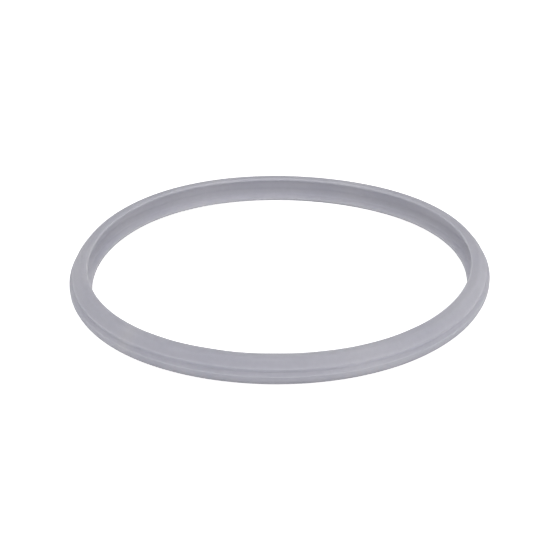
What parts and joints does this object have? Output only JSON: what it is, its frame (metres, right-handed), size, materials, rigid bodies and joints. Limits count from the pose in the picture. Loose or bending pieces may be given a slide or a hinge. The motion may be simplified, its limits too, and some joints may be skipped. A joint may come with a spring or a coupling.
{
  "type": "pressure cooker sealing ring",
  "caption": "Round silicone sealing ring for a pressure cooker lid: flat upper lip, tapered outer wall with a rounded band, and a channel that opens towards the middle.",
  "frame": {"origin": "centre of the ring at the plane of its base, the side with the longer lower lip", "axes": "+Z along the ring's axis, from the base towards the flat upper lip"},
  "size_m": [0.22, 0.22, 0.013],
  "materials": {
    "silicone": "translucent natural silicone, satin"
  },
  "bodies": {
    "root": {"sealing_ring": "silicone"}
  },
  "joints": []
}
